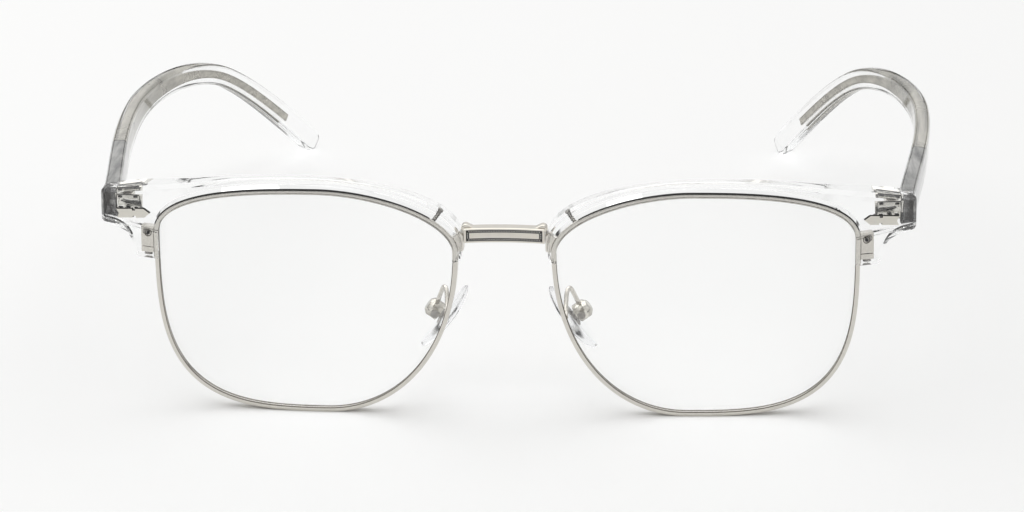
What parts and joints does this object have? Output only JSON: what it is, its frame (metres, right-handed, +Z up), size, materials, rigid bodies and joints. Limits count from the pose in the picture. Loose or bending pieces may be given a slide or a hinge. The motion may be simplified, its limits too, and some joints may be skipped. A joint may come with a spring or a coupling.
{
  "type": "browline glasses",
  "caption": "Browline glasses: clear acetate brows over wire rims, beaded metal bridge, rocking nose pads and cored clear temples that fold on barrel hinges.",
  "frame": {"origin": "on the floor under the centre of the open pair's bounding box", "axes": "+X towards the wearer's left, +Y from the front to the temple tips, +Z up"},
  "size_m": [0.1564, 0.1396, 0.045],
  "materials": {
    "clear_acetate": "polished",
    "wire_metal": "satin",
    "bridge_metal": "satin",
    "hinge_metal": "satin",
    "screw_metal": "polished",
    "core_metal": "brushed",
    "lens_glass": "polished",
    "clear_silicone": "satin"
  },
  "bodies": {
    "front": {"bridge": "bridge_metal", "left_rim": "wire_metal", "right_rim": "wire_metal", "left_lens": "lens_glass", "right_lens": "lens_glass", "left_brow": "clear_acetate", "right_brow": "clear_acetate", "left_bridge_lug": "wire_metal", "right_bridge_lug": "wire_metal", "left_lock_upper": "wire_metal", "right_lock_upper": "wire_metal", "left_lock_lower": "wire_metal", "right_lock_lower": "wire_metal", "left_lock_screw": "screw_metal", "right_lock_screw": "screw_metal", "left_brow_rivet": "screw_metal", "right_brow_rivet": "screw_metal", "left_brow_screw": "screw_metal", "right_brow_screw": "screw_metal", "left_plaque": "wire_metal", "right_plaque": "wire_metal", "left_front_hinge": "hinge_metal", "right_front_hinge": "hinge_metal", "left_hinge_screw": "screw_metal", "right_hinge_screw": "screw_metal", "left_pad_arm": "wire_metal", "right_pad_arm": "wire_metal", "left_pad_box": "wire_metal", "right_pad_box": "wire_metal", "left_pad_screw": "screw_metal", "right_pad_screw": "screw_metal"},
    "left_temple_arm": {"left_temple": "clear_acetate", "left_temple_hinge": "hinge_metal", "left_core_sleeve": "core_metal", "left_core_strip": "core_metal"},
    "left_pad": {"left_nose_pad": "clear_silicone", "left_pad_insert": "screw_metal"},
    "right_temple_arm": {"right_temple": "clear_acetate", "right_temple_hinge": "hinge_metal", "right_core_sleeve": "core_metal", "right_core_strip": "core_metal"},
    "right_pad": {"right_nose_pad": "clear_silicone", "right_pad_insert": "screw_metal"}
  },
  "joints": [
    {"name": "left_temple_fold", "type": "hinge", "parent": "front", "child": "left_temple_arm", "pos_m": [0.06839, -0.05733, 0.0336], "axis": [0, 0, 1], "range_deg": [0, 84]},
    {"name": "right_temple_fold", "type": "hinge", "parent": "front", "child": "right_temple_arm", "pos_m": [-0.06839, -0.05733, 0.0336], "axis": [0, 0, -1], "range_deg": [0, 78]},
    {"name": "left_pad_rock", "type": "hinge", "parent": "front", "child": "left_pad", "pos_m": [0.0133, -0.05866, 0.01665], "axis": [-0.0629, 0.9945, 0.0835], "range_deg": [-6, 6]},
    {"name": "right_pad_rock", "type": "hinge", "parent": "front", "child": "right_pad", "pos_m": [-0.0133, -0.05866, 0.01665], "axis": [-0.0629, -0.9945, -0.0835], "range_deg": [-6, 6]}
  ]
}
